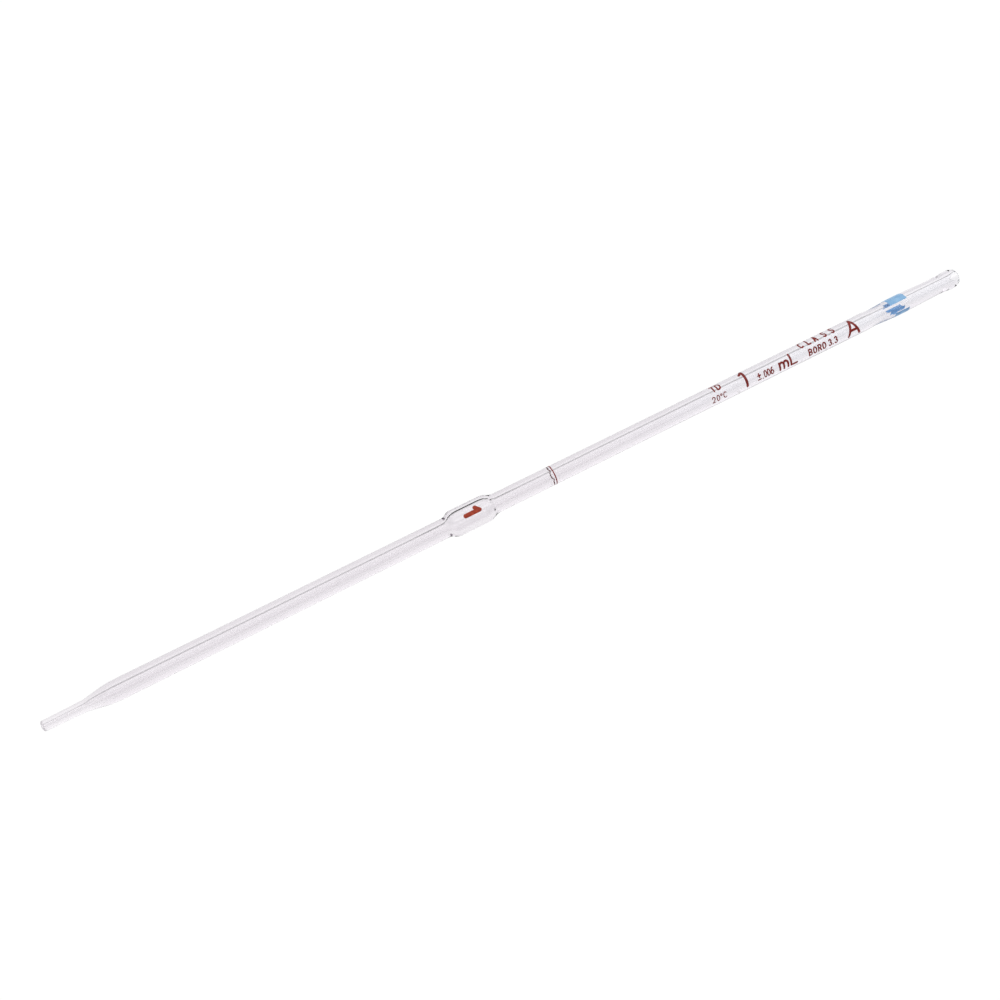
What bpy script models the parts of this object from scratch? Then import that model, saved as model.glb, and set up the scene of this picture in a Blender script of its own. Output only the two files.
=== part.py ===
"""One-millilitre volumetric pipette: five glass lengths, a full ring, enamel lettering and a two-part colour band.

The pipette lies along X with its jet at -X and its mouth at +X. The bulb is its lowest part and touches z = 0.
Every dimension along the tube is a distance from the end of the jet. Lengths are in millimetres until MM.
"""

import math

import bmesh
import bpy
from mathutils import Matrix, Vector

MM = 0.001

LENGTH = 325.0
STEPS = 40
AXIS_HEIGHT = 4.36
CAPACITY = 1000.0

# Places where one glass length ends and the next begins, and the gap left at each of them.
JET_END = 23.0
BULB_START = 126.3
BULB_END = 144.8
MOUTHPIECE_START = 285.0
JOINT_GAP = 0.30

# Outside of the glass, as (distance from the jet, radius).
OUTER = (
    (0.0, 1.50),
    (0.1, 1.60),
    (5.5, 1.71),
    (12.0, 1.86),
    (13.5, 2.08),
    (16.5, 2.63),
    (18.5, 2.98),
    (20.5, 3.17),
    (23.0, 3.23),
    (55.0, 3.18),
    (126.3, 3.20),
    (127.1, 3.28),
    (127.8, 3.60),
    (128.5, 4.02),
    (129.3, 4.27),
    (130.3, 4.35),
    (132.0, 4.36),
    (138.5, 4.36),
    (140.0, 4.33),
    (141.0, 4.20),
    (142.0, 3.80),
    (142.8, 3.43),
    (143.7, 3.20),
    (144.8, 3.14),
    (285.0, 3.16),
    (287.5, 3.05),
    (289.7, 2.97),
    (292.0, 3.05),
    (294.5, 3.20),
    (297.0, 3.31),
    (304.0, 3.34),
    (310.0, 3.18),
    (317.5, 3.07),
    (319.6, 3.14),
    (321.0, 3.31),
    (322.2, 3.37),
    (323.4, 3.31),
    (324.3, 3.08),
    (324.8, 2.79),
    (325.0, 2.43),
)

# Bore, as (distance from the jet, radius divided by the stem's bore). The jet's own radii are exact.
JET_BORE = ((0.0, 0.39), (12.0, 0.56))
BORE = (
    (14.4, 0.72),
    (17.6, 0.90),
    (23.0, 1.00),
    (126.3, 1.00),
    (127.6, 1.28),
    (128.7, 1.86),
    (129.8, 2.27),
    (131.5, 2.40),
    (139.0, 2.40),
    (140.4, 2.29),
    (141.7, 1.88),
    (142.9, 1.32),
    (144.8, 1.04),
    (285.0, 1.04),
    (289.7, 0.96),
    (294.5, 1.04),
    (317.5, 1.04),
    (321.8, 1.07),
    (323.9, 1.20),
    (324.7, 1.46),
    (325.0, 1.70),
)

# Enamel: clearance over the glass, thickness, and the angle from +Z towards -Y that a row is read from.
ENAMEL_GAP = 0.06
ENAMEL_THICK = 0.14
READ_ANGLE = 21.0
BEND_STEP = 12.0
BEND_SHIFT = 0.37
RING_AT = 164.16
RING_WIDTH = 0.39
BAND_PATCHES = (
    ("band_patch_upper", 295.50, 302.45, -144.0, -13.0),
    ("band_patch_lower", 296.75, 302.85, 44.0, 175.0),
)
BAND_CORNER = 0.56
BAND_EASE = 0.04
CAP_POINTS = 5

GLASS_COLOUR = (0.93, 0.94, 0.96, 0.35)
LETTER_COLOUR = (0.20, 0.045, 0.035, 1.0)
DIGIT_COLOUR = (0.52, 0.12, 0.075, 1.0)
BAND_COLOUR = (0.23, 0.46, 0.72, 1.0)


def clear_scene():
    """Remove whatever the scene holds."""
    for obj in list(bpy.data.objects):
        bpy.data.objects.remove(obj, do_unlink=True)


def new_collection(name, hidden=False):
    """A collection linked to the scene."""
    collection = bpy.data.collections.new(name)
    bpy.context.scene.collection.children.link(collection)
    collection.hide_render = hidden
    return collection


def principled(name, colour, roughness, metallic=0.0, transmission=0.0, ior=1.473):
    """A Principled material."""
    material = bpy.data.materials.new(name)
    material.use_nodes = True
    shader = material.node_tree.nodes["Principled BSDF"]
    shader.inputs["Base Color"].default_value = colour
    shader.inputs["Roughness"].default_value = roughness
    shader.inputs["Metallic"].default_value = metallic
    shader.inputs["Transmission Weight"].default_value = transmission
    shader.inputs["IOR"].default_value = ior
    material.diffuse_color = colour
    return material


def table_at(table, s):
    """Value of a table of (place, value) pairs at s, by straight lines."""
    for (s0, v0), (s1, v1) in zip(table, table[1:]):
        if s0 <= s <= s1:
            return v0 + (v1 - v0) * (s - s0) / (s1 - s0)
    raise ValueError(f"{s} is off the table")


def bore_table(stem_bore):
    """The whole bore as (place, radius) pairs for one stem radius."""
    return JET_BORE + tuple((s, k * stem_bore) for s, k in BORE)


def capacity(stem_bore):
    """Volume of the bore from the jet up to the ring, in cubic millimetres, as a stack of frustums."""
    table = bore_table(stem_bore)
    places = [s for s, _ in table if s < RING_AT] + [RING_AT]
    volume = 0.0
    for s0, s1 in zip(places, places[1:]):
        a = table_at(table, s0)
        b = table_at(table, s1)
        volume += math.pi * (s1 - s0) * (a * a + a * b + b * b) / 3.0
    return volume


def solve_bore():
    """Stem bore that makes the pipette hold its nominal volume up to the ring, by halving an interval."""
    low, high = 0.8, 1.6
    for _ in range(40):
        middle = 0.5 * (low + high)
        if capacity(middle) < CAPACITY:
            low = middle
        else:
            high = middle
    return 0.5 * (low + high)


def section(table, start, end):
    """Part of a table between two places, with both ends added."""
    inside = [(s, r) for s, r in table if start + 0.02 < s < end - 0.02]
    return [(start, table_at(table, start))] + inside + [(end, table_at(table, end))]


def link_mesh(name, bm, material, collection, root):
    """Store a bmesh as a named object with one material under the root empty."""
    mesh = bpy.data.meshes.new(name)
    bm.to_mesh(mesh)
    bm.free()
    mesh.materials.append(material)
    obj = bpy.data.objects.new(name, mesh)
    collection.objects.link(obj)
    obj.parent = root
    return obj


def turned(name, outline, start, material, collection, root):
    """Turn a closed outline of (place, radius) pairs about the tube's axis with a Screw modifier."""
    bm = bmesh.new()
    verts = [bm.verts.new((r * MM, 0.0, (s - start) * MM)) for s, r in outline]
    for a, b in zip(verts, verts[1:] + verts[:1]):
        bm.edges.new((a, b))
    obj = link_mesh(name, bm, material, collection, root)
    obj.location = ((start - LENGTH / 2.0) * MM, 0.0, AXIS_HEIGHT * MM)
    obj.rotation_euler = (0.0, math.radians(90.0), 0.0)
    screw = obj.modifiers.new("Turn", "SCREW")
    screw.axis = "Z"
    screw.steps = STEPS
    screw.render_steps = STEPS
    screw.use_merge_vertices = True
    screw.merge_threshold = 0.00001
    screw.use_smooth_shade = True
    return obj


def glass_length(name, start, end, bore, material, collection, root):
    """One length of tube: outside from its far end down to its near end, then back up the bore."""
    outside = section(OUTER, start, end)[::-1]
    inside = section(bore, start, end)
    return turned(name, outside + inside, start, material, collection, root)


def glass_lengths(bore, material, collection, root):
    """The five lengths of glass, with a small gap at each joint."""
    half = JOINT_GAP / 2.0
    spans = (
        ("jet", 0.0, JET_END - half),
        ("delivery_tube", JET_END + half, BULB_START - half),
        ("bulb", BULB_START + half, BULB_END - half),
        ("suction_tube", BULB_END + half, MOUTHPIECE_START - half),
        ("mouthpiece", MOUTHPIECE_START + half, LENGTH),
    )
    for name, start, end in spans:
        glass_length(name, start, end, bore, material, collection, root)


def graduation_ring(material, collection, root):
    """The full ring above the bulb, a thin hoop over the glass."""
    low = table_at(OUTER, RING_AT) + ENAMEL_GAP
    high = low + ENAMEL_THICK
    start = RING_AT - RING_WIDTH / 2.0
    end = RING_AT + RING_WIDTH / 2.0
    outline = [(end, high), (start, high), (start, low), (end, low)]
    return turned("graduation_ring", outline, start, material, collection, root)


def arc(cx, cy, rx, ry, first, last, count):
    """Points of an elliptical arc, with angles in degrees."""
    step = (last - first) / count
    angles = [math.radians(first + step * i) for i in range(count + 1)]
    return [(cx + rx * math.cos(a), cy + ry * math.sin(a)) for a in angles]


def loop(cx, cy, rx, ry):
    """A closed elliptical stroke."""
    return ("loop", arc(cx, cy, rx, ry, 0.0, 340.0, 17))


def stroke(*points):
    """An open stroke through the given points."""
    return ("open", list(points))


def glyph_strokes(key):
    """Centre-lines of one character, one unit tall and standing on the line y = 0."""
    if key == "T":
        return [stroke((0.0, 1.0), (0.62, 1.0)), stroke((0.31, 1.0), (0.31, 0.0))]
    if key == "D":
        bowl = [(0.0, 1.0), (0.20, 1.0)] + arc(0.20, 0.5, 0.44, 0.5, 75.0, -75.0, 10)
        return [stroke((0.0, 0.0), (0.0, 1.0)), stroke(*bowl, (0.20, 0.0), (0.0, 0.0))]
    if key == "2":
        hook = arc(0.28, 0.70, 0.28, 0.30, 165.0, -35.0, 11)
        return [stroke(*hook, (0.0, 0.0)), stroke((0.0, 0.0), (0.60, 0.0))]
    if key == "0":
        return [loop(0.28, 0.5, 0.28, 0.5)]
    if key == "degree":
        return [loop(0.16, 0.84, 0.16, 0.16)]
    if key == "C":
        return [stroke(*arc(0.35, 0.5, 0.35, 0.5, 48.0, 312.0, 16))]
    if key == "1":
        return [stroke((0.0, 0.78), (0.12, 0.86), (0.24, 1.0)), stroke((0.24, 1.0), (0.24, 0.0))]
    if key == "plus":
        return [stroke((0.0, 0.62), (0.56, 0.62)), stroke((0.28, 0.92), (0.28, 0.34))]
    if key == "bar":
        return [stroke((0.0, 0.0), (0.56, 0.0))]
    if key == "point":
        return [stroke((0.0, 0.0), (0.02, 0.0))]
    if key == "6":
        tail = arc(0.56, 0.30, 0.56, 0.70, 180.0, 98.0, 9)
        return [loop(0.29, 0.30, 0.29, 0.30), stroke(*tail)]
    if key == "m":
        first = arc(0.26, 0.48, 0.26, 0.24, 180.0, 0.0, 10)
        second = arc(0.78, 0.48, 0.26, 0.24, 180.0, 0.0, 10)
        return [
            stroke((0.0, 0.0), (0.0, 0.72)),
            stroke(*first, (0.52, 0.0)),
            stroke(*second, (1.04, 0.0)),
        ]
    if key == "L":
        return [stroke((0.0, 1.0), (0.0, 0.0)), stroke((0.0, 0.0), (0.58, 0.0))]
    if key == "A":
        return [
            stroke((0.0, 0.0), (0.36, 1.0)),
            stroke((0.36, 1.0), (0.72, 0.0)),
            stroke((0.12, 0.33), (0.60, 0.33)),
        ]
    if key == "S":
        top = arc(0.30, 0.74, 0.28, 0.26, 35.0, 270.0, 12)
        foot = arc(0.30, 0.24, 0.30, 0.24, 90.0, -150.0, 12)
        return [stroke(*top, *foot[1:])]
    if key == "B":
        upper = [(0.05, 1.0)] + arc(0.28, 0.76, 0.26, 0.24, 80.0, -80.0, 8) + [(0.05, 0.52)]
        lower = [(0.03, 0.50)] + arc(0.30, 0.25, 0.30, 0.25, 80.0, -80.0, 8) + [(0.03, 0.0)]
        return [stroke((0.0, 0.0), (0.0, 1.0)), stroke(*upper), stroke(*lower)]
    if key == "O":
        return [loop(0.36, 0.5, 0.36, 0.5)]
    if key == "R":
        bowl = [(0.0, 1.0)] + arc(0.30, 0.75, 0.28, 0.25, 80.0, -80.0, 8) + [(0.0, 0.50)]
        return [stroke((0.0, 0.0), (0.0, 1.0)), stroke(*bowl), stroke((0.30, 0.50), (0.60, 0.0))]
    if key == "3":
        top = arc(0.27, 0.76, 0.26, 0.24, 150.0, -80.0, 11)
        foot = arc(0.27, 0.265, 0.30, 0.265, 80.0, -150.0, 12)
        return [stroke(*top), stroke(*foot)]
    raise ValueError(key)


def unit_to(a, b):
    """Unit vector from a to b."""
    return (b - a).normalized()


def side_line(points, half, closed):
    """Points moved sideways by half, with a mitre at each corner."""
    count = len(points)
    moved = []
    for i, p in enumerate(points):
        before = points[i - 1] if i or closed else None
        after = points[(i + 1) % count] if i < count - 1 or closed else None
        ways = []
        if before is not None:
            ways.append(unit_to(before, p))
        if after is not None:
            ways.append(unit_to(p, after))
        sides = [Vector((-w.y, w.x)) for w in ways]
        middle = sum(sides, Vector((0.0, 0.0))).normalized()
        reach = half / max(0.5, middle.dot(sides[0]))
        moved.append(p + middle * reach)
    return moved


def round_cap(centre, way, half):
    """Points of a half circle round a stroke's end, from its right side to its left."""
    first = math.atan2(-way.x, way.y)
    angles = [first + math.pi * (i + 1) / (CAP_POINTS + 1) for i in range(CAP_POINTS)]
    return [centre + Vector((math.cos(a), math.sin(a))) * half for a in angles]


def stroke_outlines(kind, points, half):
    """Closed outlines of one stroke of constant width: one, or two for a loop."""
    path = [Vector(p) for p in points]
    if kind == "loop":
        return [side_line(path, half, True), side_line(path, -half, True)]
    left = side_line(path, half, False)
    right = side_line(path, -half, False)
    end = round_cap(path[-1], unit_to(path[-2], path[-1]), half)
    start = round_cap(path[0], unit_to(path[1], path[0]), half)
    return [right + end + left[::-1] + start]


def plate_from_outlines(name, outlines, collection):
    """A flat plate of enamel thickness from 2D outlines, as a welded mesh object."""
    curve = bpy.data.curves.new(name, "CURVE")
    curve.dimensions = "2D"
    curve.fill_mode = "BOTH"
    curve.extrude = ENAMEL_THICK * MM / 2.0
    for outline in outlines:
        spline = curve.splines.new("POLY")
        spline.points.add(len(outline) - 1)
        for point, p in zip(spline.points, outline):
            point.co = (p[0] * MM, p[1] * MM, 0.0, 1.0)
        spline.use_cyclic_u = True
    holder = bpy.data.objects.new(name, curve)
    collection.objects.link(holder)
    bpy.context.view_layer.update()
    graph = bpy.context.evaluated_depsgraph_get()
    mesh = bpy.data.meshes.new_from_object(holder.evaluated_get(graph))
    bpy.data.objects.remove(holder, do_unlink=True)
    bm = bmesh.new()
    bm.from_mesh(mesh)
    bmesh.ops.remove_doubles(bm, verts=bm.verts, dist=0.000002)
    bmesh.ops.recalc_face_normals(bm, faces=bm.faces)
    bm.to_mesh(mesh)
    bm.free()
    plate = bpy.data.objects.new(name, mesh)
    collection.objects.link(plate)
    plate.hide_render = True
    plate.display_type = "WIRE"
    return plate


def simplified(bm):
    """A plate with its flat faces merged and triangulated, or the plate itself where that would open it."""
    merged = bm.copy()
    bmesh.ops.dissolve_limit(merged, angle_limit=math.radians(2.0), verts=merged.verts, edges=merged.edges)
    bmesh.ops.triangulate(merged, faces=merged.faces)
    if all(len(edge.link_faces) == 2 for edge in merged.edges):
        bm.free()
        return merged
    merged.free()
    return bm


def joined_plate(plates):
    """The union of plates, as one new bmesh. The plates are removed."""
    base = plates[0]
    for extra in plates[1:]:
        union = base.modifiers.new("Union", "BOOLEAN")
        union.operation = "UNION"
        union.solver = "EXACT"
        union.object = extra
    bpy.context.view_layer.update()
    graph = bpy.context.evaluated_depsgraph_get()
    mesh = bpy.data.meshes.new_from_object(base.evaluated_get(graph))
    bm = bmesh.new()
    bm.from_mesh(mesh)
    bpy.data.meshes.remove(mesh)
    for plate in plates:
        bpy.data.objects.remove(plate, do_unlink=True)
    bmesh.ops.remove_doubles(bm, verts=bm.verts, dist=0.000004)
    return simplified(bm)


def wrap(bm, place, angle, radius):
    """Bend a flat plate round the tube: x goes along it, y round it towards +Y, z away from it."""
    span = math.radians(BEND_STEP) * radius * MM
    low = min(v.co.y for v in bm.verts)
    high = max(v.co.y for v in bm.verts)
    bmesh.ops.triangulate(bm, faces=bm.faces)
    for i in range(math.floor(low / span) - 1, math.ceil(high / span) + 1):
        cut = (i + BEND_SHIFT) * span
        if low < cut < high:
            geometry = list(bm.verts) + list(bm.edges) + list(bm.faces)
            plane = {"plane_co": (0.0, cut, 0.0), "plane_no": (0.0, 1.0, 0.0)}
            bmesh.ops.bisect_plane(bm, geom=geometry, dist=0.000003, **plane)
    bmesh.ops.triangulate(bm, faces=bm.faces)
    base = radius + ENAMEL_GAP + ENAMEL_THICK / 2.0
    for v in bm.verts:
        turn = math.radians(angle) - v.co.y / (radius * MM)
        away = base * MM + v.co.z
        v.co = Vector((v.co.x, -away * math.sin(turn), away * math.cos(turn)))
    bmesh.ops.translate(bm, verts=bm.verts, vec=((place - LENGTH / 2.0) * MM, 0.0, AXIS_HEIGHT * MM))
    bmesh.ops.recalc_face_normals(bm, faces=bm.faces)


def centred(bm):
    """Move a bmesh so that the middle of its box is at the origin, and return that middle."""
    low = Vector([min(v.co[i] for v in bm.verts) for i in range(3)])
    high = Vector([max(v.co[i] for v in bm.verts) for i in range(3)])
    middle = (low + high) / 2.0
    bmesh.ops.translate(bm, verts=bm.verts, vec=-middle)
    return middle


def mark(name, key, place, size, width, heel, pen, material, cutters, collection, root, lengthwise=False):
    """One enamel character.

    place is its left edge from the jet, size its height, width its breadth as a share of the drawn one,
    heel the angle of its foot round the tube from the reading direction, and pen its stroke.
    A lengthwise character stands with its top towards the mouth.
    """
    plates = []
    for number, (kind, points) in enumerate(glyph_strokes(key)):
        path = [(x * size * width, y * size) for x, y in points]
        if lengthwise:
            path = [(y, -x) for x, y in path]
        outlines = stroke_outlines(kind, path, pen / 2.0)
        plates.append(plate_from_outlines(f"{name}_{number}", outlines, cutters))
    bm = joined_plate(plates)
    wrap(bm, place + pen / 2.0, READ_ANGLE + heel, table_at(OUTER, place))
    middle = centred(bm)
    obj = link_mesh(name, bm, material, collection, root)
    obj.location = middle
    return obj


def rows_of_marks():
    """Every character above the bulb, as (node, character, place, height, breadth, heel angle, pen)."""
    return (
        ("letter_T", "T", 223.60, 2.28, 0.86, -20.0, 0.47),
        ("letter_D", "D", 225.57, 2.28, 0.89, -20.0, 0.47),
        ("temperature_2", "2", 222.45, 1.90, 0.88, 44.0, 0.34),
        ("temperature_0", "0", 224.15, 1.90, 0.88, 44.0, 0.34),
        ("degree_sign", "degree", 225.65, 1.90, 0.88, 44.0, 0.29),
        ("letter_C", "C", 226.71, 1.90, 0.93, 44.0, 0.34),
        ("volume_digit_1", "1", 234.40, 6.15, 0.85, 43.0, 0.95),
        ("plus_sign", "plus", 240.20, 2.28, 0.80, 39.0, 0.42),
        ("minus_bar", "bar", 240.20, 2.28, 0.80, 39.0, 0.42),
        ("decimal_point", "point", 242.00, 2.28, 1.0, 42.0, 0.45),
        ("tolerance_0_first", "0", 242.73, 2.28, 0.71, 42.0, 0.35),
        ("tolerance_0_second", "0", 244.04, 2.28, 0.71, 42.0, 0.35),
        ("tolerance_digit_6", "6", 245.35, 2.28, 0.71, 42.0, 0.36),
        ("unit_letter_m", "m", 248.74, 3.30, 0.95, 45.0, 0.68),
        ("unit_letter_L", "L", 253.20, 3.85, 1.02, 45.0, 0.68),
        ("class_letter_C", "C", 258.60, 2.45, 0.74, -24.0, 0.50),
        ("class_letter_L", "L", 261.61, 2.45, 0.70, -24.0, 0.54),
        ("class_letter_A", "A", 264.38, 2.45, 0.62, -24.0, 0.54),
        ("class_letter_S1", "S", 268.05, 2.45, 0.66, -24.0, 0.54),
        ("class_letter_S2", "S", 271.31, 2.45, 0.66, -24.0, 0.54),
        ("glass_letter_B", "B", 260.65, 2.09, 0.88, 44.0, 0.52),
        ("glass_letter_O1", "O", 262.48, 2.09, 0.76, 44.0, 0.52),
        ("glass_letter_R", "R", 264.43, 2.09, 0.88, 44.0, 0.52),
        ("glass_letter_O2", "O", 266.21, 2.09, 0.76, 44.0, 0.52),
        ("glass_digit_3_first", "3", 268.78, 2.09, 0.74, 44.0, 0.50),
        ("glass_point", "point", 270.32, 2.09, 1.0, 44.0, 0.52),
        ("glass_digit_3_second", "3", 271.18, 2.09, 0.74, 44.0, 0.50),
        ("grade_letter_A", "A", 276.68, 5.62, 1.08, 51.0, 0.90),
    )


def rounded_rectangle(width, height, corner):
    """Outline of a rectangle with round corners, centred across y and starting at x = 0."""
    half = height / 2.0
    centres = (
        (width - corner, half - corner, 0.0),
        (corner, half - corner, 90.0),
        (corner, corner - half, 180.0),
        (width - corner, corner - half, 270.0),
    )
    return [p for cx, cy, a in centres for p in arc(cx, cy, corner, corner, a, a + 90.0, 4)]


def band_patch(name, start, end, first, last, material, cutters, collection, root):
    """One of the two blue patches that make the capacity band, between two angles from the reading direction."""
    radius = table_at(OUTER, start) + BAND_EASE
    reach = math.radians(last - first) * radius
    outline = rounded_rectangle(end - start, reach, BAND_CORNER)
    bm = joined_plate([plate_from_outlines(name, [outline], cutters)])
    wrap(bm, start, READ_ANGLE + (first + last) / 2.0, radius)
    middle = centred(bm)
    obj = link_mesh(name, bm, material, collection, root)
    obj.location = middle
    return obj


def build():
    """Build the whole pipette."""
    clear_scene()
    parts = new_collection("volumetric_pipette")
    cutters = new_collection("cutters", hidden=True)
    root = bpy.data.objects.new("pipette_root", None)
    parts.objects.link(root)

    glass = principled("borosilicate_glass", GLASS_COLOUR, 0.03, transmission=0.95)
    letters = principled("letter_enamel", LETTER_COLOUR, 0.38)
    digit = principled("digit_enamel", DIGIT_COLOUR, 0.38)
    band = principled("band_enamel", BAND_COLOUR, 0.32)

    glass_lengths(bore_table(solve_bore()), glass, parts, root)
    graduation_ring(letters, parts, root)
    for name, start, end, first, last in BAND_PATCHES:
        band_patch(name, start, end, first, last, band, cutters, parts, root)
    mark("bulb_digit_1", "1", 132.40, 4.70, 1.05, -22.0, 1.42, digit, cutters, parts, root, lengthwise=True)
    for row in rows_of_marks():
        mark(*row, letters, cutters, parts, root)


build()
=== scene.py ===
"""Looks of a one-millilitre volumetric pipette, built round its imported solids.

The pipette lies along +X with its jet at -X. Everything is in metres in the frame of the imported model,
unless a class says that its sizes are in millimetres. A place on the tube is given by its distance from the
jet, its angle from +Z towards -Y, and its distance from the axis.
"""

import logging
import math
from dataclasses import dataclass
from enum import Enum

import bmesh
import bpy
import numpy as np
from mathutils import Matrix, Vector


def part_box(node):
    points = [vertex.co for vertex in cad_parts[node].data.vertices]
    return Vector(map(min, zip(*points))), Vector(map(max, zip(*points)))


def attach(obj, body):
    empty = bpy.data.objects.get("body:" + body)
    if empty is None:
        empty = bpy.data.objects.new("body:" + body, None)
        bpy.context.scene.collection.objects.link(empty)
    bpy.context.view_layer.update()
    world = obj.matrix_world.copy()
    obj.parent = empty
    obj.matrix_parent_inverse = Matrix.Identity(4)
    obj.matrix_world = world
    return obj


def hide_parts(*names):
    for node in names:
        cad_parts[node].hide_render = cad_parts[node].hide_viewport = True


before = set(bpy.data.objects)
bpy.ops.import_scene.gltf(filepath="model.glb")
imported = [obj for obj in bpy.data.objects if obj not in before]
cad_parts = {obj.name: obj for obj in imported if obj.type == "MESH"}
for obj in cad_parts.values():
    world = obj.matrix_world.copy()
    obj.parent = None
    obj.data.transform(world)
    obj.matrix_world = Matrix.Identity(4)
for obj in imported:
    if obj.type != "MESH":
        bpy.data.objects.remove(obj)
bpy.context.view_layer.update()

LOG = logging.getLogger("pipette")
MM = 0.001
READ_ANGLE = math.radians(21.0)
WELD = 1e-8
SLIVER = 1e-9


# ----------------------------------------------------------------------------------------------------
# Shader expressions
# ----------------------------------------------------------------------------------------------------


class Socket:
    """An output socket of a node tree, with the operators that build Math nodes."""

    def __init__(self, tree: "Tree", link: bpy.types.NodeSocket) -> None:
        """Wrap one output socket.

        Args:
            tree: the tree that the socket belongs to.
            link: the socket itself.
        """
        self.tree = tree
        self.link = link

    def _math(self, operation: str, *values: "Socket | float") -> "Socket":
        """Add a Math node.

        Args:
            operation: the node's operation.
            values: its inputs, in order.

        Returns:
            The node's output.
        """
        return self.tree.node("ShaderNodeMath", {"operation": operation}, dict(enumerate(values)))

    def __add__(self, other: "Socket | float") -> "Socket":
        """Return self + other."""
        return self._math("ADD", self, other)

    def __radd__(self, other: float) -> "Socket":
        """Return other + self."""
        return self._math("ADD", other, self)

    def __sub__(self, other: "Socket | float") -> "Socket":
        """Return self - other."""
        return self._math("SUBTRACT", self, other)

    def __rsub__(self, other: float) -> "Socket":
        """Return other - self."""
        return self._math("SUBTRACT", other, self)

    def __mul__(self, other: "Socket | float") -> "Socket":
        """Return self * other."""
        return self._math("MULTIPLY", self, other)

    def __rmul__(self, other: float) -> "Socket":
        """Return other * self."""
        return self._math("MULTIPLY", other, self)

    def __truediv__(self, other: "Socket | float") -> "Socket":
        """Return self / other."""
        return self._math("DIVIDE", self, other)

    def ramp(self, low: float, high: float) -> "Socket":
        """Return 0 below low, 1 above high and a smooth rise between them.

        Args:
            low: the value at which the rise starts.
            high: the value at which it ends.

        Returns:
            The smooth step of this value.
        """
        settings = {"interpolation_type": "SMOOTHSTEP"}
        return self.tree.node("ShaderNodeMapRange", settings, {0: self, 1: low, 2: high, 3: 0.0, 4: 1.0})


class Tree:
    """The node tree of one material or world."""

    def __init__(self, owner: "bpy.types.Material | bpy.types.World") -> None:
        """Clear the owner's tree.

        Args:
            owner: the material or world that gets the nodes.
        """
        owner.use_nodes = True
        self.nodes = owner.node_tree.nodes
        self.links = owner.node_tree.links
        self.nodes.clear()

    def node(self, kind: str, settings: dict, inputs: dict, output: "int | str" = 0) -> Socket:
        """Add any node: its settings first, then the values or links of its sockets.

        Args:
            kind: the node's type.
            settings: the node's attributes by name.
            inputs: values or sockets, by socket number or name.
            output: number or name of the wanted output.

        Returns:
            The wanted output.
        """
        made = self.nodes.new(kind)
        for name, value in settings.items():
            setattr(made, name, value)
        for name, value in inputs.items():
            socket = made.inputs[name]
            if isinstance(value, Socket):
                self.links.new(value.link, socket)
            else:
                socket.default_value = value
        return Socket(self, made.outputs[output]) if made.outputs else Socket(self, None)

    def place(self, scale: tuple = (1.0, 1.0, 1.0)) -> Socket:
        """Return Object coordinates multiplied by scale.

        Args:
            scale: one factor for each axis.

        Returns:
            The scaled coordinates.
        """
        here = self.node("ShaderNodeTexCoord", {}, {}, "Object")
        return self.node("ShaderNodeVectorMath", {"operation": "MULTIPLY"}, {0: here, 1: scale})

    def lengthwise(self, low: float, high: float) -> Socket:
        """Return 0 below one place along X, 1 above another and a smooth rise between them.

        Args:
            low: the place at which the rise starts.
            high: the place at which it ends.

        Returns:
            The smooth step along the tube.
        """
        here = self.node("ShaderNodeTexCoord", {}, {}, "Object")
        return self.node("ShaderNodeSeparateXYZ", {}, {"Vector": here}, "X").ramp(low, high)

    def noise(self, vector: Socket, scale: float, detail: float = 3.0, rough: float = 0.55) -> Socket:
        """Return fractal noise from 0 to 1.

        Args:
            vector: where it is read.
            scale: how many grains there are in a metre.
            detail: number of octaves.
            rough: share of each finer octave.

        Returns:
            The noise's value.
        """
        values = {"Vector": vector, "Scale": scale, "Detail": detail, "Roughness": rough}
        return self.node("ShaderNodeTexNoise", {}, values)

    def blend(self, share: "Socket | float", low: tuple, high: "tuple | Socket") -> Socket:
        """Return a colour between two colours.

        Args:
            share: 0 for low and 1 for high.
            low: the first colour.
            high: the second colour.

        Returns:
            The mixed colour.
        """
        return self.node("ShaderNodeMix", {"data_type": "RGBA"}, {0: share, 6: low, 7: high}, 2)

    def bump(self, height: Socket, depth: float, strength: float = 1.0) -> Socket:
        """Return a normal bent by a height.

        Args:
            height: the height, 0 to 1.
            depth: what a height of 1 measures, in metres.
            strength: how much of the bend is used.

        Returns:
            The bent normal.
        """
        values = {"Strength": strength, "Distance": depth, "Height": height}
        return self.node("ShaderNodeBump", {}, values, "Normal")

    def surface(self, inputs: dict, body: "dict | None" = None) -> None:
        """Add the Principled shader, the absorption of the body behind it if there is one, and the output.

        Args:
            inputs: the shader's values or sockets by name.
            body: the absorption's values by name.
        """
        ends = {"Surface": self.node("ShaderNodeBsdfPrincipled", {}, inputs)}
        if body:
            ends["Volume"] = self.node("ShaderNodeVolumeAbsorption", {}, body)
        self.node("ShaderNodeOutputMaterial", {}, ends)


# ----------------------------------------------------------------------------------------------------
# Finishes
# ----------------------------------------------------------------------------------------------------


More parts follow.
